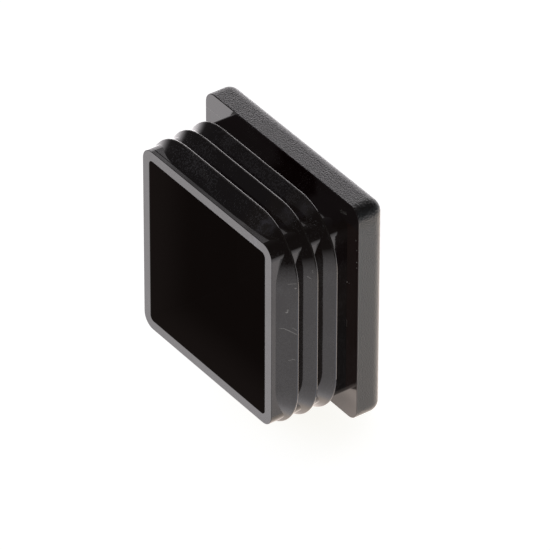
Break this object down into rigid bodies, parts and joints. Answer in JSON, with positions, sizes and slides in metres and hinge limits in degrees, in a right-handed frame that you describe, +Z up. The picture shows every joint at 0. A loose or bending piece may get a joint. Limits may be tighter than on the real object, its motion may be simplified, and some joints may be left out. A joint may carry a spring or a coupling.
{
  "type": "tube end cap",
  "caption": "Square tube end cap: a flat head with rounded corners covers the tube's end, and a hollow plug with sawtooth fins grips the inside of the tube.",
  "frame": {"origin": "on the plug's axis, in the plane of the seat where the head meets the end of the tube", "axes": "+Y along the plug's axis, out of the tube, so the head is on the +Y side and the open mouth of the plug points to -Y; +Z up, with the cap lying on its side as in the picture"},
  "size_m": [0.04, 0.019, 0.04],
  "materials": {
    "black_plastic": "moulded black: polished plug and seat, fine even grain on the head's sides and outer face"
  },
  "bodies": {
    "root": {"end_cap": "black_plastic"}
  },
  "joints": []
}
